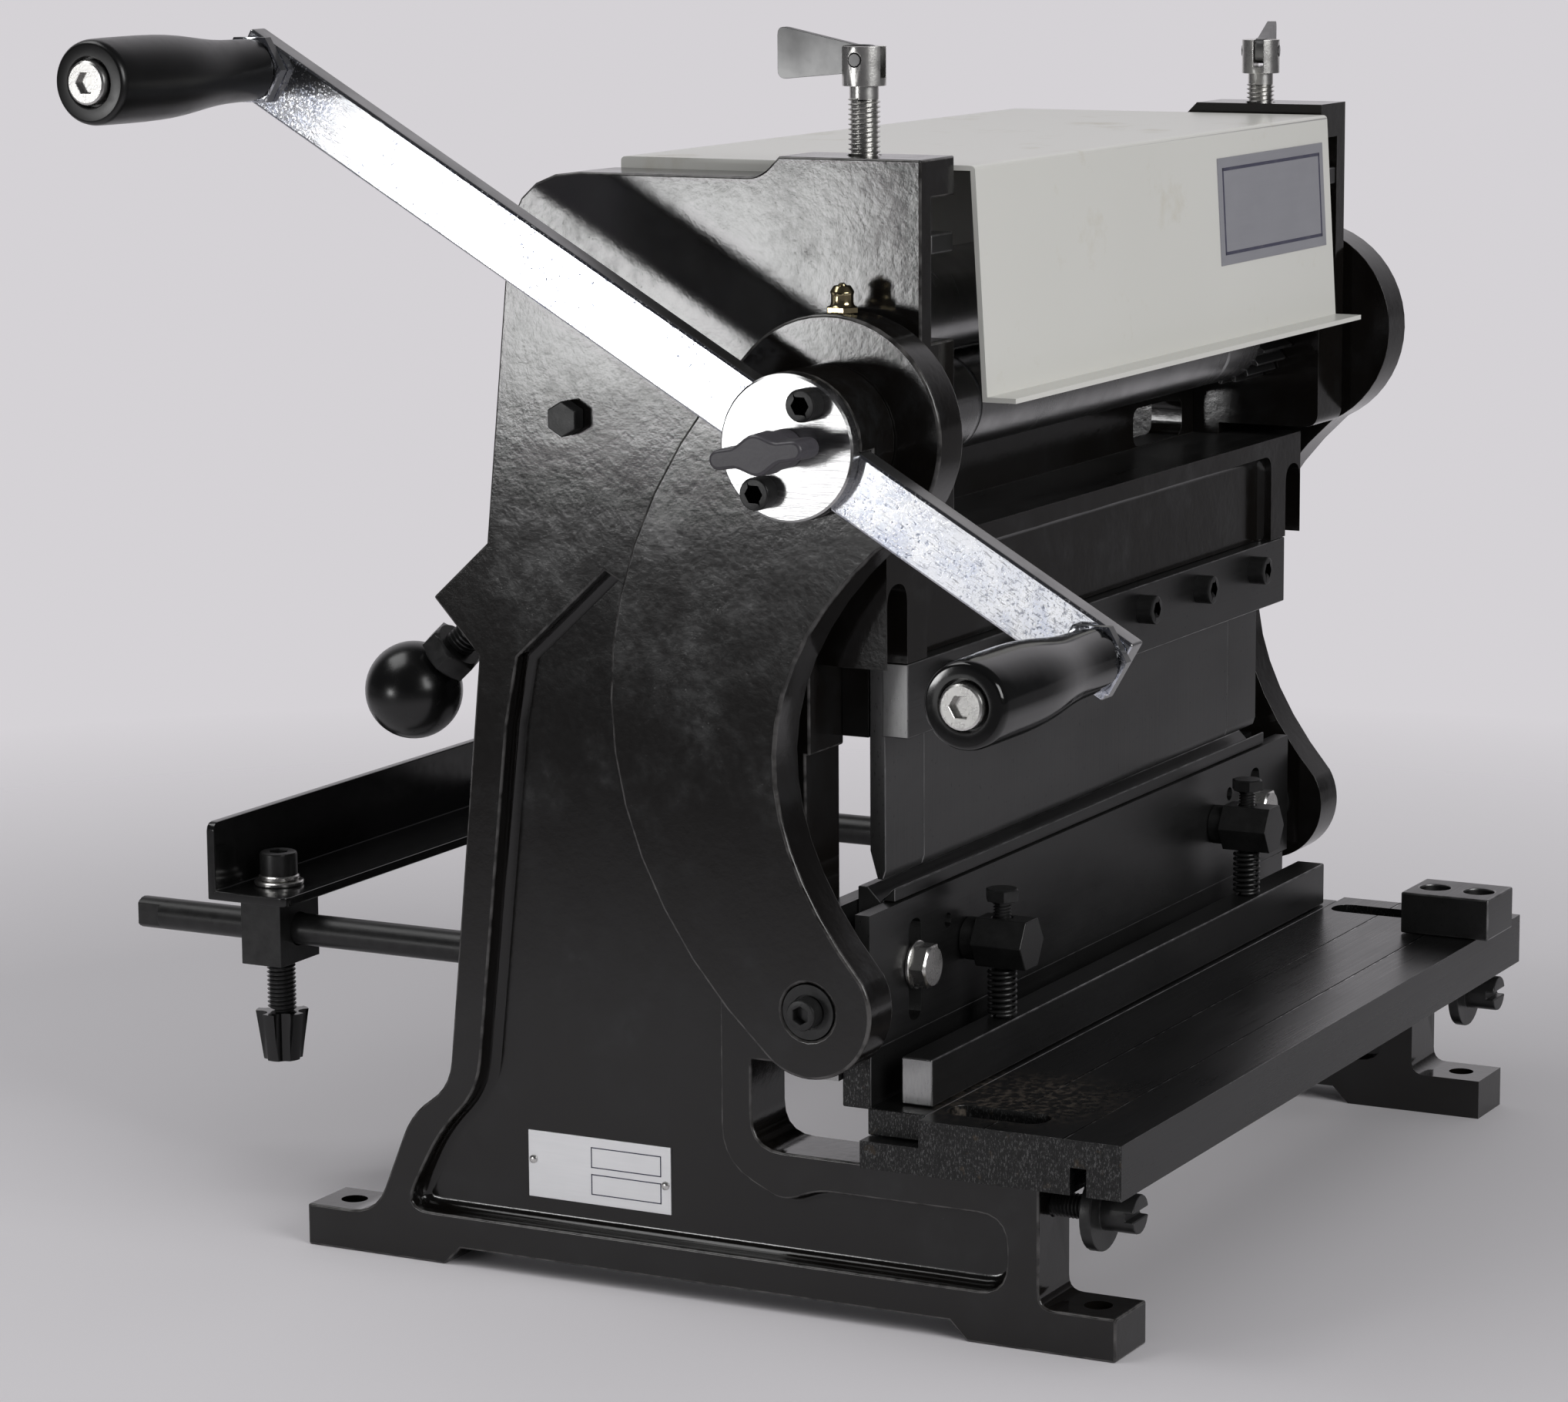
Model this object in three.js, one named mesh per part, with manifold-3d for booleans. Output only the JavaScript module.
// Bench machine for sheet metal: a shear, a press brake and a set of slip rolls in one pair of
// side frames, worked by one crank. Lengths are millimetres, X runs along the rolls with the
// crank on the left (-X), Y runs to the back and Z is up. The feet stand on Z = 0.
import * as THREE from "three";
import { mergeVertices } from "three/addons/utils/BufferGeometryUtils.js";
import Module from "manifold-3d";

const wasm = await Module();
wasm.setup();

// Clearances
const seat = 0.3; // left between pieces that touch
const running = 0.4; // round a pin, rod or journal that turns or slides
const overrun = 3; // how far a cutting shape runs past the face that it opens

// Sides of round pieces, by their size
const smallSides = 12;
const rodSides = 20;
const largeSides = 32;

// Side frames
const frameGap = 302.2;
const frameThickness = 23.4;
const footFrontY = -139;
const footRearY = 155;
const footTop = 14;
const frontPad = 50.6;
const rearPad = 53.3;
const archHeight = 6;
const uprightFrontY = -113;
const baseTop = 52.9;
const throatY = -13;
const ledgeRise = 29.1;
const guideY = -33;
const jawBelowPad = 3;
const jawProud = 1.5;
const headAboveFlange = 4;
const headFrontY = -73.2;
const headRearY = -25;
const deckStep = 6.5;
const shoulderDrop = 42;
const rearShoulderY = 72.8;
const rearTaper = 0.099;
const rearSkirtTop = 60;
const cornerRound = 24;
const filletRound = 5;
const rimWidth = 11;
const webRecess = 8;
const innerRecess = 5;
const outerWall = 7.7;
const lugThickness = 12;
const lugClearance = 3;
const footHole = 9;
const footHoleInset = 11;
const pocketTurnShare = 0.55;
const pocketBossShare = 0.8;

// Rolls, their bearing blocks and the gears that join the two front rolls
const rollDiameter = 32;
const rollGap = 0.5;
const rollPlaneY = -46.5;
const rollAboveHead = 35;
const rollEndGap = 0.8;
const mainJournalStep = 3.5;
const upperJournalStep = 7;
const rearJournalStep = 9;
const blockWidth = 31;
const blockAbove = 25.5;
const blockBelow = 13.5;
const blockFlange = 6;
const blockTravel = 8;
const gearTeeth = 20;
const gearWidth = 27;
const gearSeatStep = 6;
const wireGroove = 3;
const wireGrooveDepth = 1.6;
const leftGrooveInset = 40.3;
const rightGrooveInset = 28.3;
const slideAngle = 42.6;
const bossEndY = 92.5;
const bossDrop = 72.5;
const bossWidth = 26;
const rearRollStation = 100;
const rearTravelIn = 11;
const rearTravelOut = 30;
const rearBlockLength = 26;
const journalEndGap = 1;
const addendumShare = 0.9;
const dedendumShare = 1.2;
const toothShares = [-0.3, -0.19, -0.08, 0.08, 0.19, 0.3];

// Screws that set the rolls
const screwDiameter = 10;
const leftScrewRise = 21;
const rightScrewRise = 10.5;
const clevisDiameter = 13.6;
const clevisHeight = 12;
const leverThickness = 3;
const leverLength = 29;
const leverAbove = 10;
const leverBelow = 6.5;
const leverNarrow = 9;
const leverPin = 4;
const rightLeverTurn = -76;
const knobDiameter = 32;
const knobStation = 36;
const jamNutStation = 16;
const jamNutAcross = 17;
const jamNutHeight = 8;

// Crank shaft ends, links and crank
const throwRadius = 6;
const throwAngle = 15;
const eccentricDiameter = 30;
const eccentricPlay = 2.2;
const linkStandOff = 4.5;
const linkThickness = 16;
const linkHubRadius = 37.4;
const linkLobeRadius = 21.5;
const linkRearShare = 0.54;
const linkFrontShare = 0.345;
const linkSteps = 14;
const pinY = -44;
const pinRise = 27;
const pivotDiameter = 17.4;
const pivotScrew = 8;
const pivotRecessShare = 0.8;
const pivotRecessDepth = 2;
const stubDiameter = 20;
const stubLength = 13;
const hubDiameter = 45;
const hubLength = 22.6;
const crankBarHeight = 20;
const crankBarThickness = 8;
const crankAngle = 30;
const longArm = 224.5;
const shortArm = 121.5;
const discDiameter = 44.4;
const discThickness = 4.7;
const wingScrew = 8;
const wingSpan = 34;
const wingThickness = 9;
const wingHeight = 11;
const wingNeck = 12;
const wingReach = 9;
const wingShoulderShare = 0.7;
const wingCrownShare = 0.33;
const wingBulgeShare = 0.75;
const gripLength = 88;
const gripInset = 8;
const gripEndRadius = 12.8;
const gripBellyRadius = 13;
const gripNeckRadius = 9.8;
const gripBellyShare = 0.62;
const gripTaperShare = 0.34;
const gripStud = 8;
const studHead = 14;
const studHeadHeight = 4;
const endCapDiameter = 36;
const endCapThickness = 5;

// Fixed beam, bending fingers and clamp bar
const beamInset = 4.5;
const flangeFrontY = -59.2;
const fingerLength = 69.8;
const flangeHeight = 37;
const panelDepth = 5;
const panelInset = 13.8;
const panelRim = 6;
const slotWidth = 14;
const slotHeight = 26;
const padDrop = 25;
const webClearance = 5;
const webThickness = 12;
const webWindowWidth = 44;
const webWindowHeight = 14;
const fingerOverhang = 1.4;
const fingerFrontY = -49.7;
const fingerThickness = 5.5;
const dieOpening = 2.6;
const endFingerWidth = 27.5;
const tipWidth = 2;
const tipHeight = 9;
const tipOffset = 1.9;
const clampBarOverhang = 2.9;
const clampBarHeight = 23.5;

// Ram, V die, front plate and blades
const ramInset = 1.5;
const ramRise = 7.2;
const ramHeight = 53.9;
const plateFrontY = -54.3;
const plateThickness = 5;
const plateRise = 10.8;
const plateSlotInset = 32;
const plateSlotWidth = 9;
const plateSlotLength = 33;
const plateSlotDrop = 6.9;
const plateHoleInset = 56;
const plateHoleDrop = 12.4;
const plateHole = 5;
const dieFrontY = -53;
const dieRearY = -40;
const dieAbove = 4.4;
const dieBelow = 9.9;
const veeWidth = 9;
const veeDepth = 4.5;
const shearGap = 0.4;
const upperBladeThickness = 10;
const bladeOverlap = 1.3;
const upperBladeRake = 3;
const bladeInset = 2;

// Table, lower blade, side stop and hold-down
const tableOverhang = 5.9;
const tableFrontY = -143.3;
const tableRearY = -54.3;
const tableThickness = 17.6;
const bladeStep = 8.8;
const bladeSeatY = -74.6;
const lowerBladeInset = 6.4;
const lowerBladeRearY = -54;
const grooveRearY = -126;
const grooveWidth = 5.5;
const grooveDepth = 8.8;
const tableSlotY = -94;
const tableSlotLength = 34;
const tableSlotWidth = 13;
const tableSlotDepth = 7;
const tableBolt = 7;
const stopInset = 22.6;
const stopWidth = 26.2;
const stopLength = 33.2;
const stopHeight = 15;
const stopRearY = -115.1;
const stopHole = 6.6;
const stopCounterbore = 11;
const holdDownOverhang = 13.1;
const holdDownFrontY = -72.3;
const holdDownDepth = 10.7;
const holdDownHeight = 15.2;
const holdDownX = 103;
const holdBolt = 6;
const holdBoltAcross = 10;
const holdBoltHead = 4;
const holdBoltLength = 53.7;
const holdBlockAcross = 16;
const holdBlockFrontY = -77.5;
const holdBlockRearY = -59.5;
const holdBlockRise = 33;
const holdStem = 14;
const springWire = 1.2;
const springDiameter = 9.8;
const springTurns = 8;

// Screws that set the table
const setScrewDrop = 8.1;
const setScrewThread = 8;
const setScrewFlange = 26;
const setScrewFlangeThickness = 4;
const setScrewHead = 12.5;
const setScrewHeadLength = 11.3;
const setScrewDepth = 15;
const driverSlotWidth = 2.5;
const driverSlotDepth = 2.8;

// Back gauge
const rodX = 118;
const rodRise = 14.7;
const rodDiameter = 11;
const rodRearY = 257.6;
const rodDepth = 8;
const rodFlat = 8;
const rodFlatLength = 9;
const gaugeBlockY = 201;
const gaugeBlockWidth = 24;
const gaugeBlockLength = 16;
const gaugeBlockHeight = 23;
const gaugeOverhang = 20;
const gaugeFlange = 32;
const gaugeUpright = 27;
const gaugeSheet = 3.2;
const lockStud = 10;
const lockStudLength = 18;
const lockKnobDiameter = 18.5;
const lockKnobHeight = 17;
const lockKnobFlutes = 5;
const lockKnobUnderShare = 0.36;
const fluteReachShare = 0.5;
const fluteWidthShare = 0.38;

// Cover and rear tie rod
const coverInset = 5.4;
const coverDrop = 3.3;
const coverSheet = 1.6;
const coverFrontY = -77.5;
const coverRearY = 46.4;
const skirtAboveRoll = 5.4;
const skirtLean = 4.2;
const skirtLip = 9.7;
const rearLip = 48;
const sideLip = 20;
const sideLipFrontY = -24;
const coverBoss = 12;
const coverBossDrop = 12.7;
const coverBossYs = [-10, 32];
const tieY = 49.5;
const tieDrop = 2.5;
const tieDiameter = 8;
const tieStud = 6;
const tieNutAcross = 10;
const tieNutHeight = 5.5;

// Places worked out from the sizes above
const innerX = frameGap / 2;
const workWidth = frameGap + 2 * fingerOverhang;
const tableUnder = baseTop + seat;
const tableTop = tableUnder + tableThickness;
const ramUnder = tableTop + ramRise;
const ramTop = ramUnder + ramHeight;
const plateUnder = ramUnder + plateRise;
const pinZ = ramUnder + pinRise;
const rodZ = ramUnder + rodRise;
const dieTop = ramTop + dieAbove;
const dieUnder = ramTop - dieBelow;
const fingerTip = dieTop + dieOpening;
const fingerTop = fingerTip + fingerLength;
const flangeUnder = fingerTop + seat;
const flangeTop = flangeUnder + flangeHeight;
const padUnder = flangeUnder - padDrop;
const jawUnder = padUnder - jawBelowPad;
const ledgeUnder = baseTop + ledgeRise;
const setScrewZ = baseTop - setScrewDrop;
const headUnder = flangeTop + headAboveFlange;
const lowerRollZ = headUnder + rollAboveHead;
const webTop = lowerRollZ - rollDiameter / 2 - webClearance;
const outerX = innerX + frameThickness;
const ramReach = outerX - ramInset;
const beamReach = outerX - beamInset;
const tableReach = outerX + tableOverhang;
const gaugeReach = rodX + gaugeOverhang;
const coverReach = innerX - coverInset;
const slotX = outerX - outerWall;
const screwX = (innerX + slotX) / 2;
const midX = (innerX + outerX) / 2;
const panelReach = midX - slotWidth / 2 - panelInset;
const jawFrontY = guideY - jawProud;
const mainJournal = rollDiameter - 2 * mainJournalStep;
const upperJournal = rollDiameter - 2 * upperJournalStep;
const rearJournal = rollDiameter - 2 * rearJournalStep;
const gearSeat = rollDiameter - 2 * gearSeatStep;
const upperRollZ = lowerRollZ + rollDiameter + rollGap;
const blockTop = upperRollZ + blockAbove;
const lugUnder = blockTop + blockTravel + lugClearance;
const frameHeight = lugUnder + lugThickness;
const deckTop = frameHeight - deckStep;
const rearShoulder = frameHeight - shoulderDrop;
const coverTop = frameHeight - coverDrop;
const bossEndZ = lowerRollZ - bossDrop;
const tieZ = lowerRollZ - tieDrop;
const blockUnder = upperRollZ - blockBelow;
const slotUnder = blockUnder - 2 * running;
const rollReach = innerX - rollEndGap;
const gearStart = rollReach - gearWidth;
const gearModule = (rollDiameter + rollGap) / gearTeeth;
const slide = THREE.MathUtils.degToRad(slideAngle);
const slideY = -Math.cos(slide);
const slideZ = Math.sin(slide);
const rearRollY = bossEndY + rearRollStation * slideY;
const rearRollZ = bossEndZ + rearRollStation * slideZ;
const throwTurn = THREE.MathUtils.degToRad(throwAngle);
const eccentricY = rollPlaneY - throwRadius * Math.cos(throwTurn);
const eccentricZ = lowerRollZ - throwRadius * Math.sin(throwTurn);
const linkInnerX = outerX + linkStandOff;
const linkOuterX = linkInnerX + linkThickness;
const hubEndX = linkOuterX + seat + hubLength;
const gripStartX = hubEndX + 2 * seat;
const fingerRearY = fingerFrontY + fingerThickness;
const padY = fingerRearY + seat;
const beamRearY = jawFrontY - seat;
const tipY = fingerFrontY + tipOffset;
const ramRearY = guideY - seat;
const plateRearY = plateFrontY + plateThickness;
const ramFrontY = plateRearY + seat;
const bladeFrontY = lowerBladeRearY + shearGap;
const bladeRearY = bladeFrontY + upperBladeThickness;
const holdDownY = holdDownFrontY + holdDownDepth / 2;
const holdDownUnder = tableTop + seat;
const holdDownTop = holdDownUnder + holdDownHeight;
const flangeMidY = grooveRearY - grooveWidth / 2;
const gaugeBlockTop = rodZ + gaugeBlockHeight / 2;

// Finishes, one fresh material for each piece
const finishes = {
  enamel: { color: 0x111213, roughness: 0.32, metalness: 0 },
  darkSteel: { color: 0x3a3b3c, roughness: 0.38, metalness: 0.9 },
  brightSteel: { color: 0xb9babb, roughness: 0.25, metalness: 1 },
  chrome: { color: 0xd8d9da, roughness: 0.12, metalness: 1 },
  zinc: { color: 0xc4c3bb, roughness: 0.35, metalness: 0.9 },
  blackOxide: { color: 0x1c1c1d, roughness: 0.45, metalness: 0.6 },
  gripPlastic: { color: 0x0b0b0c, roughness: 0.2, metalness: 0 },
  offWhite: { color: 0xdedccf, roughness: 0.3, metalness: 0 },
};

const machine = new THREE.Group();

function add(name, body, finish, parent = machine, x = 0, y = 0, z = 0) {
  const shown = body.isBufferGeometry ? body : geometryOf(body);
  const mesh = new THREE.Mesh(shown, new THREE.MeshStandardMaterial(finishes[finish]));
  mesh.name = name;
  mesh.position.set(x, y, z);
  parent.add(mesh);
  return mesh;
}

// Solids from closed geometries, and back
function solid(geometry) {
  const bare = geometry.clone();
  bare.deleteAttribute("normal");
  bare.deleteAttribute("uv");
  const merged = mergeVertices(bare);
  return new wasm.Manifold(
    new wasm.Mesh({
      numProp: 3,
      vertProperties: Float32Array.from(merged.attributes.position.array),
      triVerts: Uint32Array.from(merged.index.array),
    }),
  );
}

function geometryOf(body) {
  const mesh = body.getMesh();
  const geometry = new THREE.BufferGeometry();
  geometry.setAttribute("position", new THREE.BufferAttribute(mesh.vertProperties.slice(), 3));
  geometry.setIndex(new THREE.BufferAttribute(mesh.triVerts.slice(), 1));
  geometry.computeVertexNormals();
  return geometry;
}

const cut = (body, ...tools) => tools.reduce((left, tool) => left.subtract(tool), body);
const join = (...bodies) => bodies.reduce((all, body) => all.add(body));

// The same solid seen in a mirror across X, its triangles turned to face out again
function mirrored(body) {
  const geometry = geometryOf(body);
  geometry.scale(-1, 1, 1);
  const index = geometry.index.array;
  for (let i = 0; i < index.length; i += 3) {
    [index[i], index[i + 1]] = [index[i + 1], index[i]];
  }
  return geometry;
}

// Simple solids between named planes
function block(x0, x1, y0, y1, z0, z1) {
  const box = new THREE.BoxGeometry(x1 - x0, y1 - y0, z1 - z0);
  box.translate((x0 + x1) / 2, (y0 + y1) / 2, (z0 + z1) / 2);
  return solid(box);
}

function rodAlongX(diameter, x0, x1, y, z, sides = rodSides) {
  const rod = new THREE.CylinderGeometry(diameter / 2, diameter / 2, x1 - x0, sides);
  rod.rotateZ(-Math.PI / 2);
  rod.translate((x0 + x1) / 2, y, z);
  return solid(rod);
}

function rodAlongY(diameter, y0, y1, x, z, sides = rodSides) {
  const rod = new THREE.CylinderGeometry(diameter / 2, diameter / 2, y1 - y0, sides);
  rod.translate(x, (y0 + y1) / 2, z);
  return solid(rod);
}

function rodAlongZ(diameter, z0, z1, x, y, sides = rodSides) {
  const rod = new THREE.CylinderGeometry(diameter / 2, diameter / 2, z1 - z0, sides);
  rod.rotateX(Math.PI / 2);
  rod.translate(x, y, (z0 + z1) / 2);
  return solid(rod);
}

const hexagon = 6;
const acrossCorners = (acrossFlats) => acrossFlats / Math.cos(Math.PI / hexagon);

// A shape through corner points, each given as a, b and how far its corner is rounded back
function outline(corners) {
  const shape = new THREE.Shape();
  const count = corners.length;
  corners.forEach(([a, b, round = 0], i) => {
    const here = new THREE.Vector2(a, b);
    const before = new THREE.Vector2(...corners[(i + count - 1) % count].slice(0, 2));
    const after = new THREE.Vector2(...corners[(i + 1) % count].slice(0, 2));
    const room = Math.min(here.distanceTo(before), here.distanceTo(after)) / 2;
    const back = Math.min(round, room);
    const start = before.sub(here).setLength(back).add(here);
    const end = after.sub(here).setLength(back).add(here);
    if (i === 0) {
      shape.moveTo(start.x, start.y);
    } else {
      shape.lineTo(start.x, start.y);
    }
    if (round > 0) {
      shape.quadraticCurveTo(here.x, here.y, end.x, end.y);
    }
  });
  shape.closePath();
  return shape;
}

// A slab whose outline lies in the Y-Z plane, between two X planes
function slab(shape, x0, x1, steps = 5) {
  const geometry = new THREE.ExtrudeGeometry(shape, {
    depth: x1 - x0,
    bevelEnabled: false,
    curveSegments: steps,
  });
  const toSide = new THREE.Matrix4().makeBasis(
    new THREE.Vector3(0, 1, 0),
    new THREE.Vector3(0, 0, 1),
    new THREE.Vector3(1, 0, 0),
  );
  geometry.applyMatrix4(toSide);
  geometry.translate(x0, 0, 0);
  return solid(geometry);
}

// A slab whose outline lies in the X-Z plane, between two Y planes
function panel(shape, y0, y1, steps = 6) {
  const geometry = new THREE.ExtrudeGeometry(shape, {
    depth: y1 - y0,
    bevelEnabled: false,
    curveSegments: steps,
  });
  geometry.rotateX(Math.PI / 2);
  geometry.translate(0, y1, 0);
  return solid(geometry);
}

// A flat plate whose outline lies in the X-Y plane, between two heights
function plate(shape, z0, z1, steps = 6) {
  const geometry = new THREE.ExtrudeGeometry(shape, {
    depth: z1 - z0,
    bevelEnabled: false,
    curveSegments: steps,
  });
  geometry.translate(0, 0, z0);
  return solid(geometry);
}

// A turned body about X: pairs of distance along X and radius, from left to right
function turnedAlongX(profile, sides = rodSides) {
  const points = profile.map(([x, radius]) => new THREE.Vector2(radius, x));
  const geometry = new THREE.LatheGeometry(points, sides);
  geometry.rotateZ(-Math.PI / 2);
  return solid(geometry);
}

// A point on the line that the rear roll slides along, "across" being measured square to it
function onSlide(station, across = 0) {
  return [
    bossEndY + station * slideY + across * slideZ,
    bossEndZ + station * slideZ - across * slideY,
  ];
}

const slideStrip = (from, to, width) =>
  outline([
    onSlide(from, width / 2),
    onSlide(to, width / 2),
    onSlide(to, -width / 2),
    onSlide(from, -width / 2),
  ]);

// A rod along the slide line, at the middle of the bearing slot
function rodOnSlide(diameter, from, to, x, sides = rodSides) {
  const rod = new THREE.CylinderGeometry(diameter / 2, diameter / 2, to - from, sides);
  rod.translate(0, (from + to) / 2, 0);
  const aim = new THREE.Matrix4().makeBasis(
    new THREE.Vector3(1, 0, 0),
    new THREE.Vector3(0, slideY, slideZ),
    new THREE.Vector3(0, -slideZ, slideY),
  );
  rod.applyMatrix4(aim);
  rod.translate(x, bossEndY, bossEndZ);
  return solid(rod);
}

// Side frame, drawn for the left side
function sideFrame() {
  const rearEdge = (z) => rearShoulderY + (rearShoulder - z) * rearTaper;
  const skirtY = rearEdge(rearSkirtTop);
  const skirtRun = footRearY - rearPad / 2 - skirtY;
  const archRamp = archHeight;
  const side = outline([
    [footFrontY, 0],
    [footFrontY, footTop],
    [uprightFrontY, footTop, filletRound],
    [uprightFrontY, baseTop],
    [throatY, baseTop, rimWidth],
    [throatY, ledgeUnder],
    [guideY, ledgeUnder],
    [guideY, jawUnder],
    [jawFrontY, jawUnder],
    [jawFrontY, headUnder],
    [headFrontY, headUnder, filletRound],
    [headFrontY, frameHeight],
    [headRearY, frameHeight],
    [headRearY + deckStep, deckTop, deckStep],
    [rearEdge(deckTop), deckTop, cornerRound],
    [skirtY, rearSkirtTop, cornerRound / 2],
    [skirtY + skirtRun / 2, rearSkirtTop - skirtRun / 3, cornerRound],
    [skirtY + skirtRun, footTop, filletRound * 2],
    [footRearY, footTop],
    [footRearY, 0],
    [footRearY - rearPad, 0],
    [footRearY - rearPad - archRamp, archHeight],
    [footFrontY + frontPad + archRamp, archHeight],
    [footFrontY + frontPad, 0],
  ]);
  const pocket = (rim) =>
    outline([
      [uprightFrontY + rim, archHeight + rim, filletRound * 2],
      [uprightFrontY + rim, baseTop - rim, filletRound * 2],
      [throatY - jawProud - 2 * rim, baseTop - rim, filletRound],
      [throatY - rim, baseTop - rim - filletRound, filletRound],
      [throatY + rim, baseTop - rim / 2, filletRound * 3],
      [throatY + rim, onSlide(0)[1], filletRound],
      onSlide(rearRollStation * pocketTurnShare, -bossWidth * pocketBossShare),
      onSlide(rimWidth, -bossWidth * pocketBossShare),
      [rearEdge(onSlide(0, -bossWidth)[1]) - rim, onSlide(0, -bossWidth)[1] - rim],
      [skirtY - rim, rearSkirtTop, cornerRound / 2],
      [skirtY + skirtRun / 2 - rim, rearSkirtTop - skirtRun / 2, cornerRound],
      [skirtY + skirtRun - rim, archHeight + rim, filletRound * 2],
    ]);
  const blockRearY = rollPlaneY + blockWidth / 2 + running;
  const lipY = rollPlaneY - blockWidth / 2 - running;
  const bearingSlot = outline([
    [headFrontY - overrun, blockUnder + blockFlange + seat],
    [lipY, blockUnder + blockFlange + seat],
    [lipY, slotUnder],
    [blockRearY, slotUnder],
    [blockRearY, lugUnder],
    [headFrontY - overrun, lugUnder],
  ]);
  const rearSlotFrom = rearRollStation - rearTravelOut - rearBlockLength / 2 - 2 * running;
  const rearSlotTo = rearRollStation + rearTravelIn + rearBlockLength / 2 + 2 * running;
  const bossZ = coverTop - coverBossDrop;
  const bosses = coverBossYs.map((y) =>
    rodAlongX(coverBoss, -innerX - seat, -coverReach - seat, y, bossZ, smallSides),
  );
  const through = [-outerX - overrun, -innerX + overrun];
  const setScrewBore = [uprightFrontY - overrun, uprightFrontY + setScrewDepth];
  const screwHole = screwDiameter + 2 * running;
  const body = join(
    slab(side, -outerX, -innerX),
    slab(slideStrip(0, rearRollStation / 2, bossWidth), -outerX, -innerX),
    ...bosses,
  );
  return cut(
    body,
    slab(pocket(rimWidth), -outerX - overrun, -outerX + webRecess),
    slab(pocket(rimWidth), -innerX - innerRecess, -innerX + overrun),
    slab(bearingSlot, -slotX, -innerX + overrun),
    slab(slideStrip(rearSlotFrom, rearSlotTo, bossWidth), -slotX, -innerX + overrun),
    rodOnSlide(screwHole, -overrun, rearSlotFrom + overrun, -screwX),
    rodAlongX(mainJournal + 2 * running, ...through, rollPlaneY, lowerRollZ),
    rodAlongZ(screwHole, lugUnder - overrun, frameHeight + overrun, -screwX, rollPlaneY),
    rodAlongX(tieStud + 2 * running, ...through, tieY, tieZ, smallSides),
    rodAlongZ(footHole, -overrun, footTop + overrun, -midX, footFrontY + footHoleInset),
    rodAlongZ(footHole, -overrun, footTop + overrun, -midX, footRearY - footHoleInset),
    rodAlongY(setScrewThread + 2 * running, ...setScrewBore, -midX, setScrewZ),
  );
}

const frameBody = sideFrame();
add("left_side_frame", frameBody, "enamel");
add("right_side_frame", mirrored(frameBody), "enamel");

// Fixed beam bolted to the jaws, with its machined flange, finger pad and cast web
function fixedBeam() {
  const flange = block(-beamReach, beamReach, flangeFrontY, beamRearY, flangeUnder, flangeTop);
  const padTop = flangeUnder + overrun;
  const pad = block(-workWidth / 2, workWidth / 2, padY, beamRearY, padUnder, padTop);
  const webFrontY = rollPlaneY + rollDiameter / 2 + webThickness / 2;
  const webReach = innerX - seat;
  const web = block(-webReach, webReach, webFrontY, webFrontY + webThickness, padUnder, webTop);
  const coreRearY = webFrontY + overrun;
  const core = block(-webReach, webReach, beamRearY - overrun, coreRearY, padUnder, flangeTop);
  const recess = panel(
    outline([
      [-panelReach, flangeUnder - overrun],
      [panelReach, flangeUnder - overrun],
      [panelReach, flangeTop - panelRim, panelRim],
      [-panelReach, flangeTop - panelRim, panelRim],
    ]),
    flangeFrontY - overrun,
    flangeFrontY + panelDepth,
  );
  const boltSlot = (x) =>
    panel(
      outline([
        [x - slotWidth / 2, flangeUnder - overrun],
        [x + slotWidth / 2, flangeUnder - overrun],
        [x + slotWidth / 2, flangeUnder + slotHeight, slotWidth / 2],
        [x - slotWidth / 2, flangeUnder + slotHeight, slotWidth / 2],
      ]),
      flangeFrontY - overrun,
      beamRearY + overrun,
    );
  const windowMiddle = panelReach - webWindowWidth / 2 - panelRim / 4;
  const webWindow = (x) =>
    panel(
      outline([
        [x - webWindowWidth / 2, flangeTop + seat, filletRound],
        [x + webWindowWidth / 2, flangeTop + seat, filletRound],
        [x + webWindowWidth / 2, flangeTop + webWindowHeight, filletRound],
        [x - webWindowWidth / 2, flangeTop + webWindowHeight, filletRound],
      ]),
      webFrontY - overrun,
      webFrontY + webThickness + overrun,
    );
  return cut(
    join(flange, pad, web, core),
    recess,
    boltSlot(-midX),
    boltSlot(midX),
    webWindow(-windowMiddle),
    webWindow(windowMiddle),
  );
}

add("upper_beam", fixedBeam(), "enamel");

const clampRearY = fingerFrontY - seat;
const clampBarReach = workWidth / 2 + clampBarOverhang;
const clampBarUnder = fingerTop - clampBarHeight;
const clampSection = outline([
  [flangeFrontY, clampBarUnder],
  [flangeFrontY, fingerTop],
  [clampRearY, fingerTop],
  [clampRearY - seat, (fingerTop + clampBarUnder) / 2],
  [clampRearY, clampBarUnder],
]);
add("clamp_bar", slab(clampSection, -clampBarReach, clampBarReach), "darkSteel");

// Bending fingers: a narrow one at each end and a wide one between them
const fingerSection = outline([
  [fingerFrontY, fingerTop],
  [fingerFrontY, fingerTip + tipHeight / 3],
  [tipY - tipWidth / 2, fingerTip],
  [tipY + tipWidth / 2, fingerTip],
  [fingerRearY, fingerTip + tipHeight],
  [fingerRearY, fingerTop],
]);
const fingerReach = workWidth / 2;
for (const [name, from, to] of [
  ["left_finger", -fingerReach, endFingerWidth - fingerReach],
  ["middle_finger", endFingerWidth - fingerReach, fingerReach - endFingerWidth],
  ["right_finger", fingerReach - endFingerWidth, fingerReach],
]) {
  add(name, slab(fingerSection, from + seat / 2, to - seat / 2), "darkSteel");
}

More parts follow.
